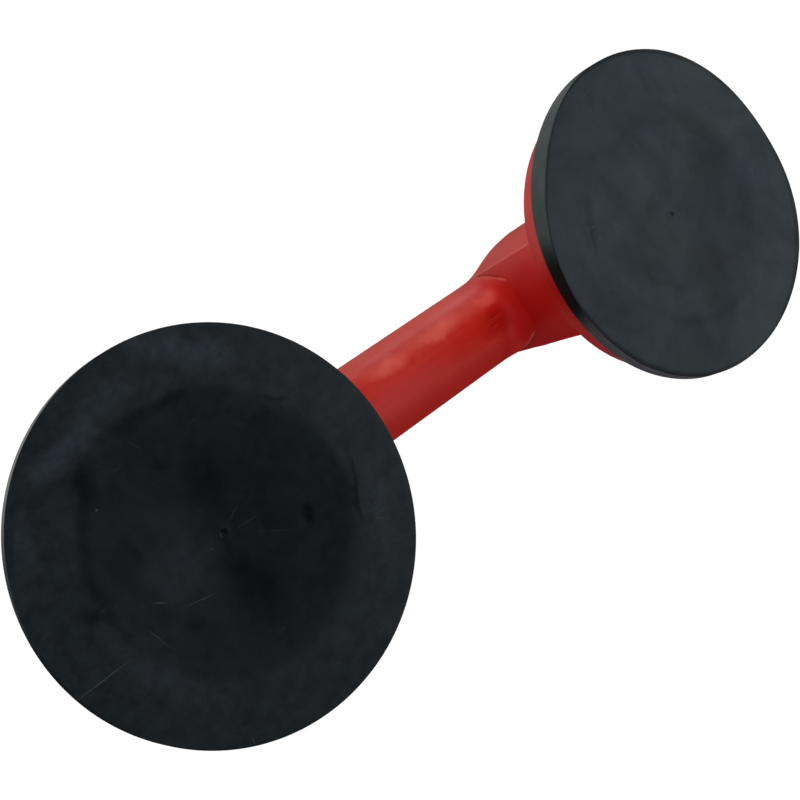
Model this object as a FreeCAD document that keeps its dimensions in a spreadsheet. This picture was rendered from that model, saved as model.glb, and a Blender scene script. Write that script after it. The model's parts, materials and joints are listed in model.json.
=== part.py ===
import FreeCAD, Part
import Sketcher
import math
import os
from FreeCAD import Matrix, Placement, Rotation, Vector

# Twin-cup suction lifter for floor tiles and raised-floor panels.
#
# Frame: X runs along the grip, Y across it, Z up from the face of the rubber
# pads, which lies in z = 0.  The origin is midway between the two cups.
# "Outward" is away from the middle of the grip.  Each cup set is drawn about
# its own axis with +X outward and is then placed at +-cup_pitch / 2, the left
# set turned half a turn about Z.  The levers are drawn locked: folded down
# outward, with the pad centres drawn up.

doc = FreeCAD.newDocument("SuctionLifter")
sheet = doc.addObject("Spreadsheet::Sheet", "dims")


class Dim:
    """A number together with the sheet expression that gives it."""

    def __init__(self, value, text):
        self.value = float(value)
        self.text = text

    @staticmethod
    def of(x):
        return x if isinstance(x, Dim) else Dim(x, "%.6g" % x if x >= 0 else "(%.6g)" % x)

    def __add__(self, o):
        o = Dim.of(o)
        return Dim(self.value + o.value, "(%s + %s)" % (self.text, o.text))

    def __radd__(self, o):
        return Dim.of(o) + self

    def __sub__(self, o):
        o = Dim.of(o)
        return Dim(self.value - o.value, "(%s - %s)" % (self.text, o.text))

    def __rsub__(self, o):
        return Dim.of(o) - self

    def __mul__(self, o):
        o = Dim.of(o)
        return Dim(self.value * o.value, "%s * %s" % (self.text, o.text))

    def __rmul__(self, o):
        return Dim.of(o) * self

    def __truediv__(self, o):
        o = Dim.of(o)
        return Dim(self.value / o.value, "%s / %s" % (self.text, o.text))

    def __neg__(self):
        return Dim(-self.value, "(0 - %s)" % self.text)


row = [0]


def dim(alias, value, note):
    """One driving dimension: its name, value and meaning in the sheet."""
    row[0] += 1
    n = row[0]
    sheet.set("A%d" % n, alias)
    sheet.set("B%d" % n, "%.6g" % value)
    sheet.set("C%d" % n, note)
    sheet.setAlias("B%d" % n, alias)
    return Dim(value, "dims." + alias)


# Overall
cup_pitch = dim("cup_pitch", 204.4, "distance between the two cup axes")
grip_height = dim("grip_height", 58.5, "height of the grip's axis, also the joint plane of the shells")
grip_radius = dim("grip_radius", 16.2, "outer radius of the round grip")
wall = dim("wall", 3.0, "wall thickness of the mouldings")

# Rubber pad
pad_face = dim("pad_face", 58.8, "radius of the flat sealing ring's outer edge")
pad_rim = dim("pad_rim", 59.4, "largest radius of the pad")
pad_edge = dim("pad_edge", 6.0, "thickness of the pad at its edge")
ring_inner = dim("ring_inner", 41.0, "inner radius of the flat sealing ring")
dish_depth = dim("dish_depth", 2.8, "depth of the dish at its centre when locked")
hub_radius = dim("hub_radius", 21.5, "radius of the moulded hub on the back of the pad")
hub_top = dim("hub_top", 11.0, "height of the hub's top")
plate_radius = dim("plate_radius", 18.0, "radius of the steel disc in the hub")
plate_low = dim("plate_low", 7.2, "underside of the steel disc")
plate_thick = dim("plate_thick", 2.0, "thickness of the steel disc")
bond_gap = dim("bond_gap", 0.1, "bond line round the steel disc")

# Draw stud, bush, seat and spring
stud_radius = dim("stud_radius", 5.0, "radius of the draw stud")
stud_top_margin = dim("stud_top_margin", 6.2, "stud length above the pin axis")
bush_gap = dim("bush_gap", 0.1, "running clearance of the stud in its bush")
bush_radius = dim("bush_radius", 7.5, "outer radius of the bush's barrel")
bush_flange = dim("bush_flange", 9.5, "radius of the bush's flange")
bush_flange_thick = dim("bush_flange_thick", 1.4, "thickness of the bush's flange")
seat_radius = dim("seat_radius", 14.0, "radius of the spring's seat washer")
seat_thick = dim("seat_thick", 0.9, "thickness of the seat washer")
spring_radius = dim("spring_radius", 11.9, "mean radius of the return spring")
wire_radius = dim("wire_radius", 0.6, "radius of the spring's wire")
spring_pitch = dim("spring_pitch", 1.75, "pitch of the compressed spring")

# Shroud
shroud_top = dim("shroud_top", 20.0, "height of the shroud's deck")
shroud_top_radius = dim("shroud_top_radius", 52.8, "radius of the shroud's top edge")
shroud_foot_radius = dim("shroud_foot_radius", 58.2, "radius of the shroud's foot")

# Pod
pod_corner = dim("pod_corner", 16.6, "half width of the pod's front wall at the joint plane")
pod_corner_low = dim("pod_corner_low", 18.4, "half width of the pod's front wall at the deck")
pod_half = dim("pod_half", 23.2, "half width of the pod at the joint plane")
pod_half_low = dim("pod_half_low", 23.8, "half width of the pod at the deck")
bulkhead = dim("bulkhead", 15.5, "distance from the cup axis to the wall behind the lever")
bay_half = dim("bay_half", 19.4, "half width of the lever's bay")

# Cam, lever and pin
cam_plate_thick = dim("cam_plate_thick", 1.5, "thickness of the wear plate")
cam_gap = dim("cam_gap", 0.3, "clearance of the cams over the wear plate")
cam_radius = dim("cam_radius", 10.5, "radius of the round cams")
cam_throw = dim("cam_throw", 1.9, "distance of the cams' centre from the pin")
cam_angle = dim("cam_angle", 47.5, "angle of the cams' centre below the outward line, locked")
lever_half = dim("lever_half", 16.3, "half width of the lever")
lever_reach = dim("lever_reach", 51.5, "distance from the pin to the lever's tip")
lever_slot = dim("lever_slot", 5.7, "half width of the slot that straddles the stud")
pin_radius = dim("pin_radius", 2.5, "radius of the lever pin")
pin_gap = dim("pin_gap", 0.05, "running clearance of the lever on its pin")

# Fasteners
boss_x = dim("boss_x", 34.0, "distance from the cup axis to the screw bosses")
boss_y = dim("boss_y", 10.0, "distance of the screw bosses from the middle plane")
boss_radius = dim("boss_radius", 5.4, "radius of the lower screw bosses")
screw_radius = dim("screw_radius", 2.0, "radius of the shell screws")
screw_head = dim("screw_head", 3.8, "radius of the screws' heads")
screw_seat = dim("screw_seat", 46.0, "height of the shoulder under the screws' heads")

doc.recompute()

cam_x = cam_throw.value * math.cos(math.radians(cam_angle.value))
cam_z = cam_throw.value * math.sin(math.radians(cam_angle.value))
cam_out = cam_throw * Dim(math.cos(math.radians(cam_angle.value)), "cos(dims.cam_angle * 1deg)")
cam_down = cam_throw * Dim(math.sin(math.radians(cam_angle.value)), "sin(dims.cam_angle * 1deg)")
pin_height = shroud_top + cam_plate_thick + cam_gap + cam_radius + cam_down

exports = []


def bind(obj, prop, d):
    """Sets a property from a dimension and ties it to the sheet."""
    if isinstance(d, Dim):
        obj.setExpression(prop, d.text)
    return obj


def sketch_on(body, name, role):
    s = body.newObject("Sketcher::SketchObject", name)
    plane = [f for f in body.Origin.OriginFeatures if f.Role == role][0]
    s.AttachmentSupport = [(plane, "")]
    s.MapMode = "FlatFace"
    return s


def fix_point(s, geo, end, x, y):
    """Ties one sketch point to two dimensions."""
    for kind, d in (("DistanceX", x), ("DistanceY", y)):
        d = Dim.of(d)
        if abs(d.value) < 1e-9:
            s.addConstraint(Sketcher.Constraint("PointOnObject", geo, end, -2 if kind == "DistanceX" else -1))
        elif d.value > 0:
            k = s.addConstraint(Sketcher.Constraint(kind, -1, 1, geo, end, d.value))
            s.setExpression("Constraints[%d]" % k, d.text)
        else:
            k = s.addConstraint(Sketcher.Constraint(kind, geo, end, -1, 1, -d.value))
            s.setExpression("Constraints[%d]" % k, (-d).text)


def outline(body, name, role, points):
    """A closed outline; every corner is tied to the sheet.

    A corner is (x, y), or (x, y, mx, my) where the edge to the next corner is
    an arc through (mx, my)."""
    s = sketch_on(body, name, role)
    n = len(points)
    p = [Vector(Dim.of(q[0]).value, Dim.of(q[1]).value, 0) for q in points]
    arcs = []
    ends = []
    for i, q in enumerate(points):
        a, b = p[i], p[(i + 1) % n]
        if len(q) == 4:
            mid = Vector(q[2], q[3], 0)
            whole = Part.Arc(a, mid, b).toShape().Curve
            turn = (mid - a).cross(b - mid).z
            first, last = (a, b) if turn > 0 else (b, a)
            a0 = math.atan2(first.y - whole.Center.y, first.x - whole.Center.x)
            a1 = math.atan2(last.y - whole.Center.y, last.x - whole.Center.x)
            if a1 < a0:
                a1 += 2 * math.pi
            ring = Part.Circle(whole.Center, Vector(0, 0, 1), whole.Radius)
            s.addGeometry(Part.ArcOfCircle(ring, a0, a1), False)
            ends.append((1, 2) if turn > 0 else (2, 1))
            arcs.append((i, whole.Radius))
        else:
            s.addGeometry(Part.LineSegment(a, b), False)
            ends.append((1, 2))
    for i in range(n):
        j = (i + 1) % n
        s.addConstraint(Sketcher.Constraint("Coincident", i, ends[i][1], j, ends[j][0]))
    for i, q in enumerate(points):
        fix_point(s, i, ends[i][0], q[0], q[1])
    for i, r in arcs:
        s.addConstraint(Sketcher.Constraint("Radius", i, r))
    return s


def new_body(label):
    b = doc.addObject("PartDesign::Body", label)
    b.Label = label
    return b


def pad_on(body, name, sketch, length, symmetric=True):
    f = body.newObject("PartDesign::Pad", name)
    f.Profile = sketch
    f.Length = Dim.of(length).value
    bind(f, "Length", length)
    if symmetric:
        f.SideType = "Symmetric"
    return f


def pocket_on(body, name, sketch, length):
    f = body.newObject("PartDesign::Pocket", name)
    f.Profile = sketch
    f.SideType = "Symmetric"
    f.Length = Dim.of(length).value
    bind(f, "Length", length)
    return f


def turned(label, points):
    """A piece turned about its cup's axis, from its (radius, height) outline."""
    b = new_body(label)
    s = outline(b, label + "_profile", "XZ_Plane", points)
    f = b.newObject("PartDesign::Revolution", label + "_turn")
    f.Profile = s
    f.ReferenceAxis = (s, ["V_Axis"])
    f.Angle = 360.0
    return b


def circle_sketch(body, name, role, x, y, r):
    s = sketch_on(body, name, role)
    s.addGeometry(Part.Circle(Vector(Dim.of(x).value, Dim.of(y).value, 0), Vector(0, 0, 1), Dim.of(r).value), False)
    fix_point(s, 0, 3, x, y)
    k = s.addConstraint(Sketcher.Constraint("Radius", 0, Dim.of(r).value))
    if isinstance(r, Dim):
        s.setExpression("Constraints[%d]" % k, r.text)
    return s


def at_cup(obj, side):
    """Places a cup-frame piece at its cup: side +1 is right, -1 is left."""
    obj.Placement = Placement(Vector(side * cup_pitch.value / 2, 0, 0), Rotation(Vector(0, 0, 1), 0 if side > 0 else 180))
    obj.setExpression("Placement.Base.x", ("" if side > 0 else "-") + "dims.cup_pitch / 2")
    return obj


def export(obj, label):
    obj.Label = label
    exports.append((label, obj))
    return obj


def mirrored(src, label):
    m = doc.addObject("Part::Mirroring", label)
    m.Source = src
    m.Normal = (1, 0, 0)
    m.Base = (0, 0, 0)
    return m


def joined(label, shapes):
    f = doc.addObject("Part::MultiFuse", label)
    f.Shapes = shapes
    f.Refine = True
    return f


def minus(label, base, tool):
    f = doc.addObject("Part::Cut", label)
    f.Base = base
    f.Tool = tool
    return f


def shared(label, base, tool):
    f = doc.addObject("Part::Common", label)
    f.Base = base
    f.Tool = tool
    return f


def block(label, x0, x1, y0, y1, z0, z1):
    """A box in the right cup's frame, its sides tied to the sheet."""
    b = doc.addObject("Part::Box", label)
    lo = [Dim.of(v) for v in (x0, y0, z0)]
    hi = [Dim.of(v) for v in (x1, y1, z1)]
    for prop, a, c in zip(("Length", "Width", "Height"), lo, hi):
        setattr(b, prop, (c - a).value)
        b.setExpression(prop, (c - a).text)
    base = [cup_pitch / 2 + lo[0], lo[1], lo[2]]
    b.Placement = Placement(Vector(*[d.value for d in base]), Rotation())
    for axis, d in zip("xyz", base):
        b.setExpression("Placement.Base." + axis, d.text)
    return b


def rod(label, r, x, y, z0, z1):
    """An upright cylinder in the right cup's frame."""
    c = doc.addObject("Part::Cylinder", label)
    c.Radius = Dim.of(r).value
    bind(c, "Radius", r)
    span = Dim.of(z1) - Dim.of(z0)
    c.Height = span.value
    c.setExpression("Height", span.text)
    base = [cup_pitch / 2 + Dim.of(x), Dim.of(y), Dim.of(z0)]
    c.Placement = Placement(Vector(*[d.value for d in base]), Rotation())
    for axis, d in zip("xyz", base):
        c.setExpression("Placement.Base." + axis, d.text)
    return c


# ---------------------------------------------------------------------------
# Cup set
# ---------------------------------------------------------------------------

def rubber_pad(label):
    # Flat sealing ring, shallow dish with a moulding dimple, bevelled rim,
    # and a hub on the back that holds the steel disc.
    cavity_low = plate_low - 1.2 - bond_gap
    return turned(label, [
        (0, dish_depth + 0.8),
        (1.3, dish_depth + 0.55),
        (2.2, dish_depth),
        (12, dish_depth - 0.25),
        (32, 0.75),
        (38, 0.12),
        (ring_inner, 0),
        (pad_face, 0),
        (pad_face + 0.35, 0.35),
        (pad_rim, pad_edge - 1.4),
        (pad_rim - 0.7, pad_edge),
        (48, pad_edge),
        (25, 8.2),
        (hub_radius, hub_top - 0.8),
        (hub_radius - 0.8, hub_top),
        (stud_radius + 0.5, hub_top),
        (stud_radius + 0.5, plate_low + plate_thick + bond_gap),
        (plate_radius + bond_gap, plate_low + plate_thick + bond_gap),
        (plate_radius + bond_gap, plate_low - bond_gap),
        (stud_radius + 3.0 + bond_gap, plate_low - bond_gap),
        (stud_radius + 3.0 + bond_gap, cavity_low),
        (0, cavity_low),
    ])


def pad_plate(label):
    top = plate_low + plate_thick
    return turned(label, [
        (stud_radius, plate_low),
        (plate_radius - 0.3, plate_low),
        (plate_radius, plate_low + 0.3),
        (plate_radius, top - 0.3),
        (plate_radius - 0.3, top),
        (stud_radius, top),
    ])


def pad_stud(label):
    # Round stud with a riveted foot under the steel disc, cross-drilled for
    # the lever pin near its domed top.
    top = pin_height + stud_top_margin
    b = turned(label, [
        (0, plate_low - 1.2),
        (stud_radius + 2.4, plate_low - 1.2),
        (stud_radius + 3.0, plate_low - 0.6),
        (stud_radius + 3.0, plate_low),
        (stud_radius, plate_low),
        (stud_radius, top - 1.8),
        (stud_radius - 0.5, top - 0.9),
        (stud_radius - 1.6, top - 0.2),
        (stud_radius - 2.8, top),
        (0, top),
    ])
    s = circle_sketch(b, label + "_eye", "XZ_Plane", 0, pin_height, pin_radius)
    pocket_on(b, label + "_cross_hole", s, stud_radius * 4)
    return b


def stud_bush(label):
    deck_low = shroud_top - wall
    return turned(label, [
        (stud_radius + bush_gap, deck_low - bush_flange_thick),
        (bush_flange, deck_low - bush_flange_thick),
        (bush_flange, deck_low),
        (bush_radius, deck_low),
        (bush_radius, shroud_top),
        (stud_radius + bush_gap, shroud_top),
    ])


def spring_seat(label):
    low = hub_top + 0.05
    return turned(label, [
        (stud_radius + 0.5, low),
        (seat_radius, low),
        (seat_radius, low + seat_thick),
        (stud_radius + 0.5, low + seat_thick),
    ])


def cam_plate(label):
    b = new_body(label)
    s = outline(b, label + "_outline", "XY_Plane", [
        (-11.5, -17.5), (11.5, -17.5), (13.5, -15.5), (13.5, 15.5),
        (11.5, 17.5), (-11.5, 17.5), (-13.5, 15.5), (-13.5, -15.5)])
    f = pad_on(b, label + "_plate", s, cam_plate_thick, symmetric=False)
    s.AttachmentOffset = Placement(Vector(0, 0, shroud_top.value), Rotation())
    s.setExpression("AttachmentOffset.Base.z", shroud_top.text)
    doc.recompute()
    c = circle_sketch(b, label + "_stud_hole", "XY_Plane", 0, 0, stud_radius + 0.6)
    pocket_on(b, label + "_hole", c, shroud_top * 4)
    return b


def lever(label):
    # Two round cams straddle the stud; a channel-shaped tongue runs outward
    # from them and ends in a lifted lip with grip grooves.
    b = new_body(label)
    zp = pin_height
    tip = lever_reach
    cams = circle_sketch(b, label + "_cam_circle", "XZ_Plane", cam_out, zp - cam_down, cam_radius)
    pad_on(b, label + "_cams", cams, lever_half * 2)
    zv = zp.value
    side = outline(b, label + "_side", "XZ_Plane", [
        (1.5, zp + 9.0, 15.0, zv + 9.3),
        (28, zp + 7.2, 38.0, zv + 4.4),
        (46, zp + 1.6, 49.2, zv + 1.0),
        (tip, zp + 1.6),
        (tip, zp - 1.4, 48.5, zv - 2.7),
        (44, zp - 3.2, 30.0, zv - 4.6),
        (14, zp - 7.0),
        (4, zp - 9.5),
    ])
    pad_on(b, label + "_tongue", side, lever_half * 2)
    doc.recompute()

    # the tongue narrows to a rounded lip in plan
    w = lever_half
    plan = outline(b, label + "_plan_trim_a", "XY_Plane", [
        (18, w, 38.0, w.value - 0.9),
        (tip - 5.5, w - 5.2, tip.value - 1.2, w.value - 8.2),
        (tip, w - 12.5),
        (tip + 6, w - 12.5),
        (tip + 6, w + 6),
        (18, w + 6),
    ])
    pocket_on(b, label + "_trim_a", plan, 140)
    plan2 = outline(b, label + "_plan_trim_b", "XY_Plane", [
        (18, -w, 38.0, -w.value + 0.9),
        (tip - 5.5, -w + 5.2, tip.value - 1.2, -w.value + 8.2),
        (tip, -w + 12.5),
        (tip + 6, -w + 12.5),
        (tip + 6, -w - 6),
        (18, -w - 6),
    ])
    pocket_on(b, label + "_trim_b", plan2, 140)

    # the underside of the tongue is hollow
    under = outline(b, label + "_under", "XZ_Plane", [
        (13.5, zp - 12, ),
        (13.5, zp + 5.6),
        (28, zp + 4.4, 37.0, zv + 1.7),
        (43, zp - 1.0),
        (43, zp - 12),
    ])
    pocket_on(b, label + "_hollow", under, lever_half * 2 - 9.0)

    # the slot that clears the stud while the lever swings
    slot = outline(b, label + "_slot", "XZ_Plane", [
        (-20, zp - 20), (7.4, zp - 20), (7.4, zp + 4.6),
        (5.0, zp + 7.4), (2.0, zp + 14), (-20, zp + 14)])
    pocket_on(b, label + "_stud_slot", slot, lever_slot * 2)

    hole = circle_sketch(b, label + "_pin_circle", "XZ_Plane", 0, zp, pin_radius + pin_gap)
    pocket_on(b, label + "_pin_hole", hole, lever_half * 4)

    # grip grooves across the lip
    for k, (gx, gz) in enumerate(((29.6, 6.75), (33.0, 5.85), (36.4, 4.9), (39.8, 3.85))):
        groove = outline(b, label + "_groove_%d" % (k + 1), "XZ_Plane", [
            (gx - 0.5, zp + (gz - 0.85)), (gx + 0.5, zp + (gz - 0.85)),
            (gx + 1.3, zp + (gz + 2.5)), (gx - 1.3, zp + (gz + 2.5))])
        pocket_on(b, label + "_grip_groove_%d" % (k + 1), groove, lever_half * 2 - 10.0)
    return b


def lever_pin(label):
    b = new_body(label)
    s = circle_sketch(b, label + "_shank_circle", "XZ_Plane", 0, pin_height, pin_radius)
    pad_on(b, label + "_shank", s, lever_half * 2 + 2.4)
    h = circle_sketch(b, label + "_head_circle", "XZ_Plane", 0, pin_height, pin_radius + 1.8)
    h.AttachmentOffset = Placement(Vector(0, 0, -(lever_half.value + 0.2)), Rotation())
    h.setExpression("AttachmentOffset.Base.z", (-(lever_half + 0.2)).text)
    f = b.newObject("PartDesign::Pad", label + "_head")
    f.Profile = h
    f.Length = 1.3
    f.Reversed = True
    return b


def pin_clip(label):
    # retaining washer pushed on the plain end of the pin
    b = new_body(label)
    s = sketch_on(b, label + "_ring", "XZ_Plane")
    for r in (pin_radius + 2.0, pin_radius):
        k = s.addGeometry(Part.Circle(Vector(0, pin_height.value, 0), Vector(0, 0, 1), r.value), False)
        fix_point(s, k, 3, 0, pin_height)
        c = s.addConstraint(Sketcher.Constraint("Radius", k, r.value))
        s.setExpression("Constraints[%d]" % c, r.text)
    s.AttachmentOffset = Placement(Vector(0, 0, lever_half.value + 0.2), Rotation())
    s.setExpression("AttachmentOffset.Base.z", (lever_half + 0.2).text)
    f = b.newObject("PartDesign::Pad", label + "_washer")
    f.Profile = s
    f.Length = 0.9
    return b


def return_spring(label, side):
    low = hub_top + 0.05 + seat_thick + wire_radius + 0.05
    high = shroud_top - wall - wire_radius - 0.05
    helix = doc.addObject("Part::Helix", label + "_path")
    helix.Radius = spring_radius.value
    bind(helix, "Radius", spring_radius)
    helix.Pitch = spring_pitch.value
    bind(helix, "Pitch", spring_pitch)
    helix.Height = (high - low).value
    bind(helix, "Height", high - low)
    ring = doc.addObject("Part::Circle", label + "_wire")
    ring.Radius = wire_radius.value
    bind(ring, "Radius", wire_radius)
    ring.Placement = Placement(Vector(spring_radius.value, 0, 0), Rotation(Vector(1, 0, 0), 90))
    ring.setExpression("Placement.Base.x", spring_radius.text)
    sweep = doc.addObject("Part::Sweep", label)
    sweep.Sections = [ring]
    sweep.Spine = (helix, [])
    sweep.Solid = True
    sweep.Frenet = True
    doc.recompute()
    sweep.Placement = Placement(Vector(side * cup_pitch.value / 2, 0, low.value), Rotation(Vector(0, 0, 1), 0 if side > 0 else 180))
    sweep.setExpression("Placement.Base.x", ("" if side > 0 else "-") + "dims.cup_pitch / 2")
    sweep.setExpression("Placement.Base.z", low.text)
    return sweep


for side, hand in ((-1, "left"), (1, "right")):
    for name, maker in (("rubber_pad", rubber_pad), ("pad_plate", pad_plate), ("pad_stud", pad_stud),
                        ("stud_bush", stud_bush), ("spring_seat", spring_seat), ("cam_plate", cam_plate),
                        ("lever", lever), ("lever_pin", lever_pin), ("pin_clip", pin_clip)):
        label = hand + "_" + name
        export(at_cup(maker(label), side), label)
    export(return_spring(hand + "_return_spring", side), hand + "_return_spring")
doc.recompute()


# ---------------------------------------------------------------------------
# Handle mouldings.  The right half is built, then mirrored about x = 0.
# ---------------------------------------------------------------------------

# Pod outline at the joint plane: distance from the cup axis, half width at
# the joint plane, half width at the deck and rise above the joint plane.
corner, corner_low = pod_corner.value, pod_corner_low.value
half, half_low = pod_half.value, pod_half_low.value
stations = [
    (-60.0, corner - 0.8, corner_low - 0.8, 15.8),
    (-54.5, corner - 0.4, corner_low - 0.4, 16.15),
    (-50.2, corner, corner_low, 16.45),
    (-46.5, corner + 0.8, corner_low + 1.0, 16.7),
    (-42.0, half - 4.25, half_low - 3.2, 16.8),
    (-37.5, half - 2.55, half_low - 1.9, 16.5),
    (-32.5, half - 1.2, half_low - 0.9, 15.6),
    (-27.0, half - 0.35, half_low - 0.3, 13.7),
    (-21.5, half - 0.03, half_low - 0.05, 10.9),
    (-bulkhead.value, half, half_low, 7.0),
]
zj = grip_height.value
zd = shroud_top.value


def lower_wire(x, w, wl, z0, z1, inset=0.0):
    # trapezium whose half width is wl at the deck and w at the joint plane
    lean = (w - wl) / (zj - zd)
    a = wl + lean * (z0 - zd) - inset
    b = wl + lean * (z1 - zd) - inset
    p = [Vector(x, -a, z0), Vector(x, a, z0), Vector(x, b, z1), Vector(x, -b, z1)]
    return Part.makePolygon(p + [p[0]])


def upper_wire(x, w, rise, drop, inset=0.0):
    # half an ellipse standing on the joint plane, closed a little below it
    w, rise = w - inset, rise - inset
    arc = Part.Arc(Vector(0, w, 0), Vector(0, 0, w), Vector(0, -w, 0)).toShape()
    m = Matrix()
    m.A33 = rise / w
    arc = arc.transformGeometry(m)
    side1 = Part.makeLine(Vector(0, -w, 0), Vector(0, -w, -drop))
    base = Part.makeLine(Vector(0, -w, -drop), Vector(0, w, -drop))
    side2 = Part.makeLine(Vector(0, w, -drop), Vector(0, w, 0))
    wire = Part.Wire([arc, side1, base, side2])
    wire.translate(Vector(x, 0, zj))
    return wire


def feature(label, shape):
    f = doc.addObject("Part::Feature", label)
    f.Shape = shape
    f.Placement = Placement(Vector(cup_pitch.value / 2, 0, 0), Rotation())
    f.setExpression("Placement.Base.x", "dims.cup_pitch / 2")
    return f


# beyond the bulkhead the pod's sides run on as the lever's two cheeks
cheek_end = 25.5
lower_stations = stations + [(0.0, half, half_low, 0), (10.0, half - 0.15, half_low - 0.15, 0),
                             (18.0, half - 0.8, half_low - 0.8, 0), (cheek_end, half - 1.9, half_low - 1.9, 0)]
pod_low = feature("pod_low_form", Part.makeLoft(
    [lower_wire(x, w, wl, zd - 2.0, zj + 2.0) for x, w, wl, r in lower_stations], True, False))
pod_front = rod("pod_front_limit", shroud_top_radius, 0, 0, shroud_top - 3, grip_height + 3)
pod_low_cut = shared("pod_low_trimmed", pod_low, pod_front)
pod_up = feature("pod_up_form", Part.makeLoft(
    [upper_wire(x, w, r, 1.0) for x, w, wl, r in stations], True, False))

t = wall.value
inner = [s for s in stations if -48 < s[0] < -20]
inner = [(-47.6, corner + 0.4, corner_low + 0.5, 16.4)] + inner[1:] + [(-bulkhead.value - t, half, half_low, 9.1)]
pod_low_hollow = feature("pod_low_hollow", Part.makeLoft(
    [lower_wire(x, w, wl, 10.0, zj + 0.5, t) for x, w, wl, r in inner], True, False))
pod_up_hollow = feature("pod_up_hollow", Part.makeLoft(
    [upper_wire(x, w, r, 1.0, t) for x, w, wl, r in inner], True, False))

# the cheeks fall away outward in one long curve
cheek_cut = new_body("cheek_slope")
pad_on(cheek_cut, "cheek_slope_pad", outline(cheek_cut, "cheek_slope_side", "XZ_Plane", [
    (-bulkhead - 3.0, grip_height + 2.0, 7.5, 46.6),
    (cheek_end, 25.0),
    (cheek_end + 6, 25.0),
    (cheek_end + 6, grip_height + 12),
    (-bulkhead - 3.0, grip_height + 12),
]), 80)
at_cup(cheek_cut, 1)

# concave flare that carries the underside of the grip into the pod's front wall
def flare_wire(x, w, depth):
    arc = Part.Arc(Vector(0, w, 0), Vector(0, 0, -w), Vector(0, -w, 0)).toShape()
    m = Matrix()
    m.A33 = depth / w
    arc = arc.transformGeometry(m)
    side1 = Part.makeLine(Vector(0, -w, 0), Vector(0, -w, 1))
    top = Part.makeLine(Vector(0, -w, 1), Vector(0, w, 1))
    side2 = Part.makeLine(Vector(0, w, 1), Vector(0, w, 0))
    wire = Part.Wire([arc, side1, top, side2])
    wire.translate(Vector(x, 0, zj))
    return wire


gr = grip_radius.value
front = shroud_top_radius.value
flare = feature("flare_form", Part.makeLoft([flare_wire(-front + dx, gr + dw, gr + dd) for dx, dw, dd in (
    (-7.4, -0.12, -0.25), (-5.6, 0.0, 0.04), (-4.0, 0.06, 0.45), (-2.6, 0.12, 1.3), (-1.5, 0.17, 2.6),
    (-0.6, 0.22, 4.5), (0.2, 0.26, 7.2), (1.0, 0.3, 11.5))], True, False))

# round grip
grip = doc.addObject("Part::Cylinder", "grip_form")
bind(grip, "Radius", grip_radius)
grip.Height = 60
grip.setExpression("Height", "dims.cup_pitch / 2 - 42")
grip.Placement = Placement(Vector(0, 0, zj), Rotation(Vector(0, 1, 0), 90))
grip.setExpression("Placement.Base.z", "dims.grip_height")
bore = doc.addObject("Part::Cylinder", "grip_bore")
bore.setExpression("Radius", "dims.grip_radius - dims.wall")
bore.Height = 60
bore.setExpression("Height", "dims.cup_pitch / 2 - 42")
bore.Placement = Placement(Vector(0, 0, zj), Rotation(Vector(0, 1, 0), 90))
bore.setExpression("Placement.Base.z", "dims.grip_height")

# shroud: a low cone over the pad with a flat deck
shroud = turned("shroud_form", [
    (0, shroud_top - wall - 2),
    (0, shroud_top),
    (shroud_top_radius - 0.7, shroud_top),
    (shroud_top_radius, shroud_top - 0.7),
    (shroud_foot_radius, pad_edge),
    (shroud_foot_radius - wall, pad_edge),
    (shroud_top_radius - wall, shroud_top - wall - 2),
])
at_cup(shroud, 1)
shroud_hollow = turned("shroud_hollow", [
    (0, 5),
    (shroud_foot_radius - wall, 5),
    (shroud_foot_radius - wall, pad_edge),
    (shroud_top_radius - wall, shroud_top - wall),
    (0, shroud_top - wall),
])
at_cup(shroud_hollow, 1)

below = block("below_joint", -cup_pitch / 2, 70, -70, 70, 0, grip_height)
above = block("above_joint", -cup_pitch / 2, 70, -70, 70, grip_height, 100)

pod_sloped = minus("pod_sloped", pod_low_cut, cheek_cut)
low_solid = joined("low_solid", [grip, flare, pod_sloped, shroud])
low_outer = shared("low_outer", low_solid, below)

# lever bay between the cheeks, open upward and outward
bay = block("bay_space", -bulkhead, 60, -bay_half, bay_half, shroud_top, 100)

# screw bosses carried by a cross web inside the pod
web_low = block("web_low", -boss_x - 1.5, -boss_x + 1.5, -19.6, 19.6, shroud_top - wall, grip_height)
bosses_low = [rod("boss_low_%s" % n, boss_radius, -boss_x, y, shroud_top - wall, grip_height)
              for n, y in (("a", -boss_y), ("b", boss_y))]
bores_low = [rod("head_bore_%s" % n, screw_head + 0.4, -boss_x, y, 10, screw_seat)
             for n, y in (("a", -boss_y), ("b", boss_y))]
holes_low = [rod("shank_hole_%s" % n, screw_radius + 0.2, -boss_x, y, 40, grip_height + 2)
             for n, y in (("a", -boss_y), ("b", boss_y))]
bush_hole = rod("bush_hole", bush_radius, 0, 0, 10, shroud_top + 5)

low_space = joined("low_space", [bore, pod_low_hollow, at_cup(shroud_hollow, 1), bay, bush_hole])
low_shell = minus("low_shell", low_outer, low_space)
low_ribbed = joined("low_ribbed", [low_shell, web_low] + bosses_low)
low_drill = joined("low_drill", bores_low + holes_low)
low_half = minus("low_half", low_ribbed, low_drill)
low_mirror = mirrored(low_half, "low_half_mirror")
body_lower = joined("body_lower", [low_half, low_mirror])
export(body_lower, "body_lower")

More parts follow.
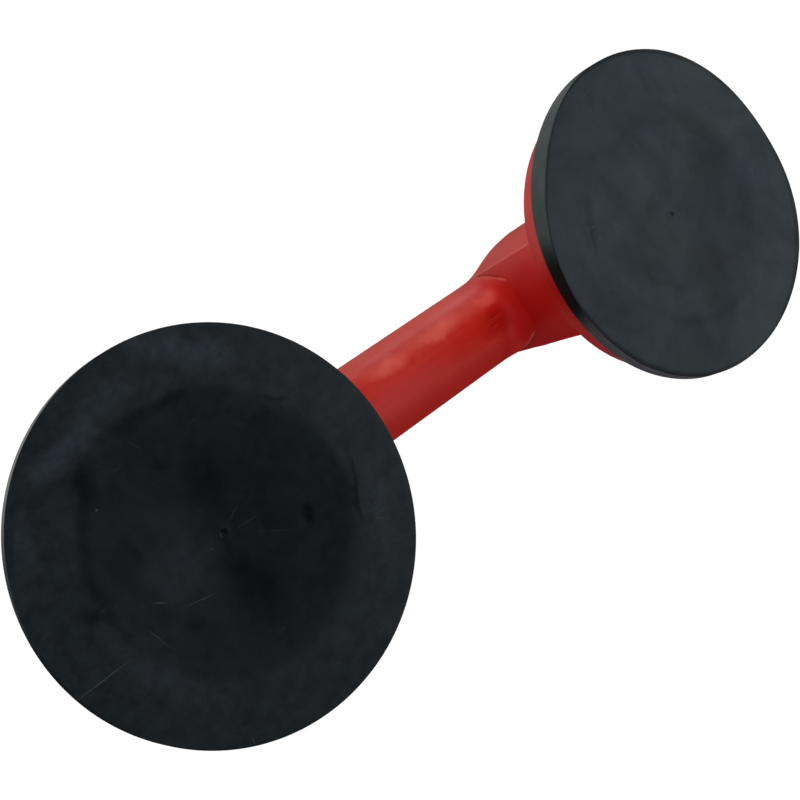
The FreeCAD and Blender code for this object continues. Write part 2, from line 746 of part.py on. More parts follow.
up_solid = joined("up_solid", [grip, pod_up])
up_outer = shared("up_outer", up_solid, above)
web_up = block("web_up", -boss_x - 1.5, -boss_x + 1.5, -26, 26, grip_height - 5, 90)
bosses_up = [rod("boss_up_%s" % n, boss_radius - 0.6, -boss_x, y, grip_height - 5, 90)
             for n, y in (("a", -boss_y), ("b", boss_y))]
up_inner = joined("up_inner", [web_up] + bosses_up)
up_void = minus("up_void", pod_up_hollow, up_inner)
up_bored = minus("up_bored", up_outer, bore)
up_ribbed = minus("up_ribbed", up_bored, up_void)
pilots = joined("pilots", [rod("pilot_%s" % n, screw_radius, -boss_x, y, grip_height - 2, screw_seat + 20.5)
                           for n, y in (("a", -boss_y), ("b", boss_y))])
up_half = minus("up_half", up_ribbed, pilots)
doc.recompute()

# the two halves of the upper moulding are stitched along the middle section,
# whose own faces are left out
up_faces = []
for piece in (up_half.Shape, up_half.Shape.mirror(Vector(0, 0, 0), Vector(1, 0, 0))):
    up_faces += [f for f in piece.Faces if max(abs(f.BoundBox.XMin), abs(f.BoundBox.XMax)) > 1e-6]
body_upper = doc.addObject("Part::Feature", "body_upper")
body_upper.Shape = Part.Solid(Part.Shell(up_faces))
export(body_upper, "body_upper")


def screw(label, y):
    # pan-head self-tapping screw driven upward, with a cross recess
    b = new_body(label)
    z = screw_seat
    s = outline(b, label + "_profile", "XZ_Plane", [
        (0, z - 2.6), (screw_head - 1.4, z - 2.6), (screw_head - 0.4, z - 2.1), (screw_head, z - 1.2),
        (screw_head, z), (screw_radius, z), (screw_radius, z + 18.0), (screw_radius - 1.2, z + 20.0), (0, z + 20.0)])
    f = b.newObject("PartDesign::Revolution", label + "_turn")
    f.Profile = s
    f.ReferenceAxis = (s, ["V_Axis"])
    f.Angle = 360.0
    doc.recompute()
    for n, (hx, hy) in (("a", (1.9, 0.45)), ("b", (0.45, 1.9))):
        r = outline(b, label + "_recess_" + n, "XY_Plane", [(-hx, -hy), (hx, -hy), (hx, hy), (-hx, hy)])
        r.AttachmentOffset = Placement(Vector(0, 0, z.value - 2.6), Rotation())
        r.setExpression("AttachmentOffset.Base.z", (z - 2.6).text)
        pocket_on(b, label + "_cut_" + n, r, 3.0)
    return b


for side, hand in ((-1, "left"), (1, "right")):
    pair = []
    for n, y in (("a", -boss_y), ("b", boss_y)):
        one = screw("%s_screw_%s" % (hand, n), y)
        one.Placement = Placement(Vector(side * (cup_pitch.value / 2 - boss_x.value), y.value, 0), Rotation())
        one.setExpression("Placement.Base.x", ("" if side > 0 else "-") + "(dims.cup_pitch / 2 - dims.boss_x)")
        one.setExpression("Placement.Base.y", y.text)
        pair.append(one)
    group = doc.addObject("Part::Compound", hand + "_shell_screws")
    group.Links = pair
    export(group, hand + "_shell_screws")

doc.recompute()

# ---------------------------------------------------------------------------
# Checks and output
# ---------------------------------------------------------------------------

bad = []
for o in doc.Objects:
    if "Invalid" in o.State or "Error" in o.State:
        bad.append("%s is %s" % (o.Name, o.State))
for label, o in exports:
    if o.Shape.isNull() or not o.Shape.isValid() or not o.Shape.Solids:
        bad.append("%s has no sound shape" % label)
    if len(label) >= 60 or o.Label != label:
        bad.append("%s is badly named" % label)
if bad:
    raise RuntimeError("; ".join(bad))

os.makedirs("parts", exist_ok=True)
for label, o in exports:
    o.Shape.exportStep(os.path.join("parts", label + ".step"))
    box = o.Shape.BoundBox
    print("%-22s solids %d volume %9.1f x %7.1f %7.1f y %6.1f %6.1f z %6.1f %6.1f" % (
        label, len(o.Shape.Solids), o.Shape.Volume, box.XMin, box.XMax, box.YMin, box.YMax, box.ZMin, box.ZMax))
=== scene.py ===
import json
import math

import bmesh
import bpy
import numpy as np
from mathutils import Matrix, Vector


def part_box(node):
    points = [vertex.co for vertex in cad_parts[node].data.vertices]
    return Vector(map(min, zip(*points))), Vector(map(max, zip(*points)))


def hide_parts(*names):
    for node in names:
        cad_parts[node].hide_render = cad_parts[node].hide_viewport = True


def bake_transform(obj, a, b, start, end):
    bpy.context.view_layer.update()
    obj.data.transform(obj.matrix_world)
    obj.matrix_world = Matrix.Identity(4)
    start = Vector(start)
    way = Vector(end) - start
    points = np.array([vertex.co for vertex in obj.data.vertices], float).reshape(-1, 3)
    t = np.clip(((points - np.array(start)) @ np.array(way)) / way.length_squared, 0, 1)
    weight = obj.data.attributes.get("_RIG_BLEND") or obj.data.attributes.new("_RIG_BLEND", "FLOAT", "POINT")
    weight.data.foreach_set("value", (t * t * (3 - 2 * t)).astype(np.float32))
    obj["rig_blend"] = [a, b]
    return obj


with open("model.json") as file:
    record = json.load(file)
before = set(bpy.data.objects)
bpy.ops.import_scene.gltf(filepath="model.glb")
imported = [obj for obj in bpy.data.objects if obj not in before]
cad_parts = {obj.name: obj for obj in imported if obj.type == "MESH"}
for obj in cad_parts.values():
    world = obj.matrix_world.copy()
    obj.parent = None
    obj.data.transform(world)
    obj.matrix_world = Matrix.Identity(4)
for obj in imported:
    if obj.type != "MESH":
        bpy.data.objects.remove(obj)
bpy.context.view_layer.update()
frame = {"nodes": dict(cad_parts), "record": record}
stud_low, stud_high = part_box("right_pad_stud")
CUP = round((stud_low.x + stud_high.x) / 2, 5)  # distance of each cup axis from the middle
SIDES = (("left", -1.0), ("right", 1.0))


# ---------------------------------------------------------------- node helper
class Tree:
    """A small builder for one material's or world's node tree."""

    def __init__(self, tree):
        self.tree = tree
        tree.nodes.clear()

    def add(self, kind, values=(), **props):
        node = self.tree.nodes.new(kind)
        for k, v in props.items():
            setattr(node, k, v)
        for k, v in dict(values).items():
            self.put(node.inputs[k], v)
        return node

    def put(self, socket, value):
        if isinstance(value, bpy.types.NodeSocket):
            self.tree.links.new(value, socket)
        elif isinstance(value, (tuple, list)) and len(value) == 3 and socket.type == "RGBA":
            socket.default_value = (*value, 1.0)
        else:
            socket.default_value = value

    def math(self, op, a, b=None, c=None, clamp=False):
        node = self.add("ShaderNodeMath", operation=op, use_clamp=clamp)
        for i, v in enumerate((a, b, c)):
            if v is not None:
                self.put(node.inputs[i], v)
        return node.outputs[0]

    def vec(self, op, a, b=None, scale=None):
        node = self.add("ShaderNodeVectorMath", operation=op)
        self.put(node.inputs[0], a)
        if b is not None:
            self.put(node.inputs[1], b)
        if scale is not None:
            self.put(node.inputs["Scale"], scale)
        return node.outputs["Value" if op in ("LENGTH", "DOT_PRODUCT", "DISTANCE") else "Vector"]

    def ramp(self, value, low, high, out_low=0.0, out_high=1.0, smooth=True):
        node = self.add(
            "ShaderNodeMapRange",
            {"Value": value, "From Min": low, "From Max": high, "To Min": out_low, "To Max": out_high},
            interpolation_type="SMOOTHSTEP" if smooth else "LINEAR",
        )
        return node.outputs["Result"]

    def mix(self, factor, a, b, mode="MIX"):
        node = self.add("ShaderNodeMix", data_type="RGBA", blend_type=mode)
        self.put(node.inputs["Factor"], factor)
        self.put(node.inputs["A"], a)
        self.put(node.inputs["B"], b)
        return node.outputs["Result"]

    def noise(self, vector, scale, detail=2.0, rough=0.5, distortion=0.0):
        node = self.add(
            "ShaderNodeTexNoise",
            {"Vector": vector, "Scale": scale, "Detail": detail, "Roughness": rough, "Distortion": distortion},
        )
        return node.outputs["Fac"]

    def stretched(self, vector, rotation, scale):
        node = self.add("ShaderNodeMapping", {"Vector": vector, "Rotation": rotation, "Scale": scale})
        return node.outputs["Vector"]

    def bump(self, height, strength, distance, normal=None):
        node = self.add("ShaderNodeBump", {"Height": height, "Strength": strength, "Distance": distance})
        if normal is not None:
            self.put(node.inputs["Normal"], normal)
        return node.outputs["Normal"]


def material(name, build):
    mat = bpy.data.materials.new(name)
    mat.use_nodes = True
    t = Tree(mat.node_tree)
    out = t.add("ShaderNodeOutputMaterial")
    bsdf = t.add("ShaderNodeBsdfPrincipled")
    t.tree.links.new(bsdf.outputs["BSDF"], out.inputs["Surface"])
    build(t, bsdf)
    return mat


def object_coords(t):
    return t.add("ShaderNodeTexCoord").outputs["Object"]


# ------------------------------------------------------------------ materials
def red_plastic(t, bsdf):
    # Glossy moulded plastic: a painted sheen along the grip with flow streaks, random handling
    # haze, painted highlight patches and a painted shade on the grip, painted edge highlights, faint orange peel, fine
    # scratches and a few nicks.
    p = object_coords(t)
    broad = t.noise(p, 22.0, 2.0, 0.5)
    flow = t.noise(t.stretched(p, (0, 0, 0), (16.0, 130.0, 130.0)), 1.0, 3.0, 0.6, 0.4)
    along = t.math("ABSOLUTE", t.add("ShaderNodeSeparateXYZ", {"Vector": p}).outputs["X"])
    along = t.math("ADD", along, t.ramp(t.noise(p, 70.0, 2.0, 0.5), 0.3, 0.7, -0.003, 0.003))
    # painted sheen: the grip's base is made paler, streaked by flow noise and fading out towards the pods, to stand for
    # light haze on the handle
    grip = t.ramp(along, 0.0440, 0.0365)
    base = t.mix(t.ramp(broad, 0.32, 0.70), (0.420, 0.0070, 0.0055), (0.490, 0.0095, 0.0070))
    painted_grip_sheen = t.math("ADD", t.math("MULTIPLY", grip, 0.32), t.math("MULTIPLY", t.ramp(flow, 0.45, 0.74, 0.0, 0.40), grip))
    base = t.mix(painted_grip_sheen, base, (0.560, 0.0340, 0.0190))
    # random pale haze, stronger on the grip where it is painted sheen
    haze_and_sheen = t.ramp(t.noise(p, 48.0, 4.0, 0.6, 0.3), 0.52, 0.72)
    base = t.mix(t.math("MULTIPLY", haze_and_sheen, t.math("MULTIPLY_ADD", grip, 0.14, 0.05)), base, (0.560, 0.0550, 0.0420))
    # painted highlight patches along the grip, and a painted shade by the far pod
    xyz = t.add("ShaderNodeSeparateXYZ", {"Vector": p})
    turn = t.math("ARCTAN2", t.math("SUBTRACT", xyz.outputs["Z"], 0.0585), xyz.outputs["Y"])
    on = t.add("ShaderNodeCombineXYZ", {"X": xyz.outputs["X"], "Y": t.math("MULTIPLY", turn, 0.0162)}).outputs["Vector"]
    shake = t.add("ShaderNodeTexNoise", {"Vector": p, "Scale": 170.0, "Detail": 3.0, "Roughness": 0.6}).outputs["Color"]
    on = t.vec("ADD", on, t.vec("MULTIPLY", t.vec("SUBTRACT", shake, (0.5, 0.5, 0.5)), (0.006, 0.006, 0.0)))
    here = t.ramp(t.math("ABSOLUTE", xyz.outputs["X"]), 0.0490, 0.0460)
    base = t.mix(t.math("MULTIPLY", spots(t, on, GRIP_HIGHLIGHTS), here, clamp=True), base, (0.80, 0.14, 0.11))
    base = t.mix(t.math("MULTIPLY", spots(t, on, GRIP_SHADE), here, clamp=True), base, (0.25, 0.0015, 0.0010))
    lines = t.noise(t.stretched(p, (0.4, 0.2, 0.7), (60.0, 900.0, 900.0)), 1.0, 2.0, 0.5)
    across = t.noise(t.stretched(p, (0.1, 0.9, 1.9), (50.0, 1100.0, 1100.0)), 1.0, 2.0, 0.5)
    scratch = t.math("MAXIMUM", t.ramp(lines, 0.68, 0.72), t.ramp(across, 0.70, 0.73))
    scratch = t.math("MULTIPLY", scratch, t.ramp(t.noise(p, 60.0, 2.0, 0.5), 0.50, 0.62))
    base = t.mix(t.math("MULTIPLY", scratch, 0.10), base, (0.70, 0.18, 0.14))
    cell = t.add("ShaderNodeTexVoronoi", {"Vector": p, "Scale": 95.0, "Randomness": 1.0})
    which = t.add("ShaderNodeSeparateColor", {"Color": cell.outputs["Color"]})
    nick = t.math(
        "MULTIPLY", t.ramp(cell.outputs["Distance"], 0.070, 0.030), t.math("GREATER_THAN", which.outputs["Red"], 0.93)
    )
    base = t.mix(t.math("MULTIPLY", nick, 0.55), base, (0.060, 0.006, 0.005))
    # painted highlight: edges made a little paler, and the shroud's foot most of all, for light caught on the rounded
    # edges
    soft = t.add("ShaderNodeBevel", {"Radius": 0.0009}, samples=6).outputs["Normal"]
    flat = t.add("ShaderNodeNewGeometry").outputs["Normal"]
    painted_edge_highlight = t.ramp(t.vec("DOT_PRODUCT", soft, flat), 0.992, 0.93, 0.0, 0.32)
    out = t.math("SUBTRACT", t.math("ABSOLUTE", xyz.outputs["X"]), CUP)
    reach = t.vec("LENGTH", t.add("ShaderNodeCombineXYZ", {"X": out, "Y": xyz.outputs["Y"]}).outputs["Vector"])
    foot = t.math("MULTIPLY", t.ramp(xyz.outputs["Z"], 0.0073, 0.0065, 0.0, 0.5), t.ramp(reach, 0.0560, 0.0568))
    painted_edge_highlight = t.math("MULTIPLY", t.math("MAXIMUM", painted_edge_highlight, foot), t.ramp(t.noise(p, 240.0, 3.0, 0.6), 0.30, 0.62, 0.45, 1.0))
    base = t.mix(painted_edge_highlight, base, (0.68, 0.150, 0.110))
    t.put(bsdf.inputs["Base Color"], base)
    rough = t.ramp(t.noise(p, 60.0, 3.0, 0.6), 0.3, 0.7, 0.36, 0.47)
    rough = t.math("ADD", rough, t.math("MULTIPLY", haze_and_sheen, 0.07))
    t.put(bsdf.inputs["Roughness"], rough)
    bsdf.inputs["IOR"].default_value = 1.48
    bsdf.inputs["Specular IOR Level"].default_value = 0.42
    n = t.bump(t.noise(p, 62.0, 2.0, 0.5), 0.60, 0.0006, soft)
    n = t.bump(t.noise(p, 420.0, 2.0, 0.5), 0.16, 0.00010, n)
    n = t.bump(t.math("MAXIMUM", scratch, nick), -0.15, 0.00010, n)
    t.put(bsdf.inputs["Normal"], n)


# Painted highlight patches (pale) and a painted shade (dark) on the grip: place along and round it (mm),
# half length, half width, direction (degrees) and strength.
GRIP_HIGHLIGHTS = [
    (15.0, -34.2, 30.0, 3.0, 0, 0.26), (-7.0, -34.2, 7.5, 3.2, 4, 0.36), (19.0, -34.8, 9.0, 3.0, -3, 0.34),
    (42.5, -34.8, 4.5, 3.0, 8, 0.30),
]
GRIP_SHADE = [(42.0, -24.9, 8.5, 5.0, 0, 0.50)]


# Lighter and darker patches on each pad's face: place, half length, half width (mm from the cup
# axis), direction (degrees) and strength, + lighter and - darker.
FACE_PATCHES = {
    "left": [
        (17.4, -49.1, 17.4, 4.5, 37, 1.00), (-8.1, -48.1, 11.4, 4.2, -11, 0.60), (-28.9, -41.6, 8.4, 3.6, -12, 0.90),
        (-19.4, -43.1, 7.2, 3.1, -10, 0.60), (-46.8, -27.4, 7.4, 2.2, 124, 0.70), (43.1, 21.1, 15.3, 4.0, 110, 0.50),
        (-37.8, 21.8, 15.6, 4.1, 63, 0.35), (-17.6, 1.0, 10.9, 7.1, 17, 0.40), (8.2, -39.6, 5.3, 1.9, -8, -0.90),
        (-5.4, -40.1, 10.1, 2.1, -2, -0.60), (-25.7, -30.8, 8.0, 3.6, 113, -1.00), (-24.3, -10.4, 3.9, 2.2, 96, -1.00),
        (24.0, 9.1, 3.6, 2.0, 102, -1.00), (-21.3, 16.3, 2.6, 1.8, 23, -0.90), (-4.4, -26.1, 2.6, 1.7, 19, -0.60),
        (40.1, 11.3, 9.6, 0.8, 113, -1.00), (33.8, -23.7, 5.3, 0.7, 40, -0.80), (4.8, -12.6, 12.0, 8.0, 113, -0.55),
        (-2.1, 17.3, 11.5, 9.5, 70, -0.55), (-28.8, -1.0, 9.6, 3.7, 79, -0.50), (-43.4, -2.8, 4.1, 2.0, 54, -0.50),
    ],
    "right": [
        (2.4, 20.1, 10.1, 8.3, 106, -0.90), (11.0, 26.3, 7.8, 5.7, 66, -0.50), (-38.7, -12.2, 8.3, 1.0, 113, -0.90),
        (-24.1, 14.4, 4.6, 1.7, 66, -1.00), (7.4, -26.3, 7.5, 4.1, 61, 0.60), (9.7, -9.1, 8.3, 5.9, 101, 0.60),
        (41.6, 3.6, 8.3, 7.3, 82, 0.60), (-4.7, -42.0, 8.1, 5.0, -8, -0.40), (23.0, 6.4, 6.1, 2.5, 128, -0.40),
        (-25.2, -30.8, 11.5, 5.0, 140, -0.40), (-15.8, 46.4, 8.7, 3.6, 47, -0.40), (20.8, -47.5, 18.6, 5.0, 37, 0.35),
    ],
}
# Where each pad's side wall is painted pale as if lit (outward direction).
LIT_WALL_SIDE = {"left": (-0.80, -0.60, 0.0), "right": (-0.682, -0.731, 0.0)}
# Scratches: two end points in mm from the cup axis, and strength.
SCRATCHES = {
    "left": [
        (-57.0, 12.9, -42.0, 12.8, 1.0), (-33.0, 9.0, -30.4, 16.8, 0.6), (-20.1, 10.5, -12.3, 12.1, 0.7),
        (3.8, 1.1, 11.0, 1.2, 0.35), (3.1, -2.0, 7.3, -4.0, 0.35), (40.4, 22.1, 44.4, 25.2, 0.5),
        (-8.9, -35.9, -7.4, -32.4, 0.4), (8.2, 5.1, 17.3, 10.5, 0.25), (-27.4, 4.2, -24.6, 6.3, 0.9), (-26.7, 52.6, -25.7, 50.2, 0.9),
    ],
    "right": [(-2.1, -31.0, -0.8, -25.3, 0.7), (32.5, 11.0, 48.1, 19.9, 0.4), (-11.9, -51.8, -7.1, -53.2, 0.7)],
}


def spots(t, p, rows):
    """Adds up soft elliptical spots; the outline is a little uneven because p is."""
    total = None
    for x, y, half_long, half_wide, turn, strength in rows:
        node = t.add(
            "ShaderNodeMapping",
            {
                "Vector": p,
                "Location": (x / 1000, y / 1000, 0.0),
                "Rotation": (0.0, 0.0, math.radians(turn)),
                "Scale": (half_long / 1000, half_wide / 1000, 1.0),
            },
            vector_type="TEXTURE",
        )
        d = t.vec("LENGTH", node.outputs["Vector"])
        one = t.ramp(d, 1.60, 0.25, 0.0, abs(strength))
        total = one if total is None else t.math("ADD", total, one)
    return total


def rubber(side):
    half = "left" if side < 0 else "right"
    rim_at = 0.0585 if side < 0 else 0.0555

    def build(t, bsdf):
        # Black rubber face with mould marks, lighter and darker patches, dust and scratches.
        p = t.vec("SUBTRACT", object_coords(t), (side * CUP, 0.0, 0.0))
        flat = t.vec("MULTIPLY", p, (1.0, 1.0, 0.0))
        r = t.vec("LENGTH", flat)
        shift = t.vec("ADD", p, (3.1 + side, 1.7, 0.4))
        wander = t.add("ShaderNodeTexNoise", {"Vector": shift, "Scale": 150.0, "Detail": 3.0, "Roughness": 0.6}).outputs["Color"]
        wander = t.vec("MULTIPLY", t.vec("SUBTRACT", wander, (0.5, 0.5, 0.5)), (0.0062, 0.0062, 0.0))
        loose = t.vec("ADD", flat, wander)
        light = spots(t, loose, [q for q in FACE_PATCHES[half] if q[5] > 0])
        dark = spots(t, loose, [q for q in FACE_PATCHES[half] if q[5] < 0])
        face = t.math("LESS_THAN", t.vec("DOT_PRODUCT", p, (0.0, 0.0, 1.0)), 0.0042)
        light = t.math("MULTIPLY", light, face, clamp=True)
        dark = t.math("MULTIPLY", dark, face, clamp=True)
        broad = t.noise(shift, 30.0, 3.0, 0.6, 0.5)
        tint = t.noise(t.vec("ADD", shift, (5.0, 2.0, 0.0)), 18.0, 2.0, 0.5, 0.3)
        base = t.mix(t.ramp(tint, 0.35, 0.65), (0.0043, 0.0060, 0.0080), (0.0046, 0.0074, 0.0076))
        base = t.mix(t.ramp(broad, 0.48, 0.70, 0.0, 0.6), base, (0.0084, 0.0108, 0.0132))
        ring = t.ramp(r, 0.0385, 0.0425)
        base = t.mix(t.math("MULTIPLY", ring, 0.55 if side < 0 else 0.18), base, (0.0108, 0.0142, 0.0158))
        edge = t.math("MULTIPLY", t.ramp(r, 0.0365, 0.0395), t.ramp(r, 0.0425, 0.0395))
        base = t.mix(t.math("MULTIPLY", edge, t.ramp(t.noise(shift, 26.0, 2.0, 0.5), 0.42, 0.62, 0.0, 0.85)), base, (0.0032, 0.0044, 0.0058))
        base = t.mix(t.math("MULTIPLY", light, 0.72 if side < 0 else 0.36), base, (0.0185, 0.0240, 0.0320))
        base = t.mix(t.math("MULTIPLY", dark, 0.95 if side < 0 else 0.80), base, (0.0006, 0.0010, 0.0018))
        mottle = t.ramp(t.noise(shift, 210.0, 4.0, 0.7), 0.32, 0.68, *((0.74, 1.28) if side < 0 else (0.89, 1.11)))
        if side < 0:
            mottle = t.math("MULTIPLY", mottle, t.ramp(r, 0.034, 0.041, 0.74, 1.0))
        else:  # this pad's face is made paler and its side wall darker
            mottle = t.math("MULTIPLY", mottle, t.ramp(r, 0.0574, 0.0588, 2.6, 0.6))
        base = t.vec("SCALE", base, scale=mottle)
        # dust specks
        cell = t.add("ShaderNodeTexVoronoi", {"Vector": shift, "Scale": 190.0, "Randomness": 1.0})
        pick = t.add("ShaderNodeSeparateColor", {"Color": cell.outputs["Color"]})
        speck = t.math(
            "MULTIPLY",
            t.ramp(cell.outputs["Distance"], 0.085, 0.045),
            t.math("GREATER_THAN", pick.outputs["Red"], 0.88),
        )
        base = t.mix(t.math("MULTIPLY", speck, t.ramp(t.noise(shift, 35.0, 2.0, 0.5), 0.40, 0.62, 0.04, 0.30)), base, (0.15, 0.18, 0.19))
        # fine scratches in three directions, and a few long ones
        total = None
        for k, (rot, keep, seed) in enumerate(((0.62, 0.735, 0.0), (-0.9, 0.745, 7.3), (1.9, 0.75, 3.9))):
            q = t.vec("ADD", shift, (seed, 0.0, 0.0))
            long = t.noise(t.stretched(q, (0, 0, rot), (110.0, 1700.0, 1.0)), 1.0, 1.5, 0.5)
            line = t.ramp(long, keep, keep + 0.02)
            total = line if total is None else t.math("MAXIMUM", total, line)
        mask = t.ramp(t.noise(shift, 45.0, 1.0, 0.5), 0.54, 0.64)
        scratch = t.math("MULTIPLY", t.math("MULTIPLY", total, mask), 0.30)
        rows = []
        for x0, y0, x1, y1, strength in SCRATCHES[half]:
            length = math.hypot(x1 - x0, y1 - y0) / 2
            rows.append(((x0 + x1) / 2, (y0 + y1) / 2, length, 0.14, math.degrees(math.atan2(y1 - y0, x1 - x0)), strength))
        bend = t.vec("ADD", flat, t.vec("MULTIPLY", wander, (0.12, 0.12, 0.0)))
        scratch = t.math("MAXIMUM", scratch, t.math("MULTIPLY", spots(t, bend, rows), face, clamp=True))
        base = t.mix(t.math("MULTIPLY", scratch, 0.36), base, (0.080, 0.100, 0.105))
        # painted light: the stretch of side wall facing the light is painted paler, unevenly
        toward = t.vec("DOT_PRODUCT", t.vec("NORMALIZE", flat), LIT_WALL_SIDE[half])
        wall = t.math("MULTIPLY", t.ramp(r, rim_at, rim_at + 0.0012), t.math("GREATER_THAN", t.vec("DOT_PRODUCT", p, (0.0, 0.0, 1.0)), 0.00035))
        patchy = t.ramp(t.noise(shift, 120.0, 3.0, 0.6), 0.25, 0.70, 0.65, 1.0)
        wall = t.math("MULTIPLY", t.math("MULTIPLY", wall, t.ramp(toward, 0.76, 0.93)), patchy)
        base = t.mix(wall, base, (0.057, 0.073, 0.071))
        if side > 0:
            # painted light: a second lit stretch of this pad's side wall, lower down
            low = t.ramp(t.vec("DOT_PRODUCT", t.vec("NORMALIZE", flat), (-0.766, 0.643, 0.0)), 0.83, 0.95)
            low = t.math("MULTIPLY", low, t.math("GREATER_THAN", t.vec("DOT_PRODUCT", p, (0.0, 0.0, 1.0)), 0.00035))
            low = t.math("MULTIPLY", t.math("MULTIPLY", low, t.ramp(r, 0.0585, 0.0592)), patchy)
            base = t.mix(low, base, (0.092, 0.094, 0.104))
        t.put(bsdf.inputs["Base Color"], base)
        rough = t.ramp(t.noise(shift, 40.0, 4.0, 0.65, 0.6), 0.30, 0.72, 0.36, 0.54)
        rough = t.math("SUBTRACT", rough, t.math("MULTIPLY", dark, 0.08))
        rough = t.math("ADD", rough, t.math("MULTIPLY", light, 0.06))
        rough = t.math("ADD", rough, t.math("MULTIPLY", scratch, 0.15), clamp=True)
        t.put(bsdf.inputs["Roughness"], rough)
        bsdf.inputs["IOR"].default_value = 1.50
        bsdf.inputs["Specular IOR Level"].default_value = 0.25
        # mould turning marks, slow unevenness and fine grain
        turning = t.math("SINE", t.math("MULTIPLY", r, 5200.0))
        n = t.bump(t.noise(shift, 48.0, 2.0, 0.5, 0.4), 0.45 if side < 0 else 0.28, 0.0010)
        n = t.bump(turning, 0.018, 0.00006, n)
        n = t.bump(t.noise(shift, 900.0, 2.0, 0.6), 0.20, 0.00008, n)
        n = t.bump(t.math("MULTIPLY", scratch, -1.0), 0.25, 0.00010, n)
        t.put(bsdf.inputs["Normal"], n)

    return build


def black_nylon(t, bsdf):
    p = object_coords(t)
    base = t.mix(t.ramp(t.noise(p, 60.0, 4.0, 0.6), 0.35, 0.7), (0.012, 0.012, 0.013), (0.026, 0.026, 0.027))
    wear = t.ramp(t.noise(p, 180.0, 5.0, 0.7), 0.64, 0.76, 0.0, 0.5)
    base = t.mix(wear, base, (0.055, 0.055, 0.055))
    t.put(bsdf.inputs["Base Color"], base)
    t.put(bsdf.inputs["Roughness"], t.ramp(t.noise(p, 90.0, 3.0, 0.6), 0.3, 0.7, 0.42, 0.58))
    n = t.bump(t.noise(p, 2600.0, 1.0, 0.5), 0.35, 0.00010)
    n = t.bump(t.noise(p, 120.0, 2.0, 0.5), 0.20, 0.0003, n)
    t.put(bsdf.inputs["Normal"], n)


def plated_steel(t, bsdf):
    p = object_coords(t)
    cloud = t.noise(p, 130.0, 4.0, 0.6)
    base = t.mix(t.ramp(cloud, 0.35, 0.7), (0.50, 0.50, 0.49), (0.66, 0.66, 0.64))
    base = t.mix(t.ramp(t.noise(p, 320.0, 4.0, 0.6), 0.60, 0.75, 0.0, 0.5), base, (0.34, 0.33, 0.30))
    t.put(bsdf.inputs["Base Color"], base)
    bsdf.inputs["Metallic"].default_value = 1.0
    t.put(bsdf.inputs["Roughness"], t.ramp(cloud, 0.3, 0.7, 0.24, 0.40))
    lines = t.noise(t.stretched(p, (0, 0, 0), (300.0, 2400.0, 2400.0)), 1.0, 3.0, 0.6)
    t.put(bsdf.inputs["Normal"], t.bump(lines, 0.12, 0.00005))


def spring_steel(t, bsdf):
    p = object_coords(t)
    cloud = t.noise(p, 260.0, 4.0, 0.6)
    t.put(bsdf.inputs["Base Color"], t.mix(t.ramp(cloud, 0.35, 0.7), (0.24, 0.24, 0.25), (0.42, 0.42, 0.42)))
    bsdf.inputs["Metallic"].default_value = 1.0
    t.put(bsdf.inputs["Roughness"], t.ramp(cloud, 0.3, 0.7, 0.26, 0.42))
    t.put(bsdf.inputs["Normal"], t.bump(t.noise(p, 1400.0, 2.0, 0.5), 0.10, 0.00004))


def acetal(t, bsdf):
    p = object_coords(t)
    cloud = t.noise(p, 120.0, 4.0, 0.6)
    t.put(bsdf.inputs["Base Color"], t.mix(t.ramp(cloud, 0.3, 0.7), (0.60, 0.58, 0.52), (0.70, 0.69, 0.64)))
    t.put(bsdf.inputs["Roughness"], t.ramp(cloud, 0.3, 0.7, 0.36, 0.46))
    bsdf.inputs["Subsurface Weight"].default_value = 0.08
    bsdf.inputs["Subsurface Radius"].default_value = (0.001, 0.001, 0.0008)
    t.put(bsdf.inputs["Normal"], t.bump(t.noise(p, 900.0, 1.0, 0.5), 0.12, 0.00005))


mats = {
    "body_red": material("moulded_red_plastic", red_plastic),
    "lever_black": material("textured_black_nylon", black_nylon),
    "plated_steel": material("zinc_plated_steel", plated_steel),
    "spring_steel": material("oiled_spring_wire", spring_steel),
    "acetal": material("natural_acetal", acetal),
    "rubber_left": material("pad_rubber_left", rubber(-1.0)),
    "rubber_right": material("pad_rubber_right", rubber(1.0)),
}
slots = {s["node"]: s["material_slot"] for s in frame["record"]["subparts"]}
for name, obj in frame["nodes"].items():
    key = slots[name]
    if key == "rubber":
        key = "rubber_" + name.split("_")[0]
    obj.data.materials.clear()
    obj.data.materials.append(mats[key])


# ---------------------------------------------------------------- rubber pads
def smooth(a, b, x):
    t = np.clip((x - a) / (b - a), 0.0, 1.0)
    return t * t * (3 - 2 * t)


def corner(points, p0, p1, p2, radius, steps=4):
    """Adds a rounded corner at p1, between the lines to p0 and to p2."""
    p0, p1, p2 = (np.array(p, float) for p in (p0, p1, p2))
    u, v = (p0 - p1) / np.linalg.norm(p0 - p1), (p2 - p1) / np.linalg.norm(p2 - p1)
    half = math.acos(float(np.clip(u @ v, -1, 1))) / 2
    d = radius / math.tan(half)
    a, b = p1 + u * d, p1 + v * d
    for k in range(steps + 1):
        s = k / steps
        points.append(tuple((1 - s) ** 2 * a + 2 * s * (1 - s) * p1 + s * s * b))


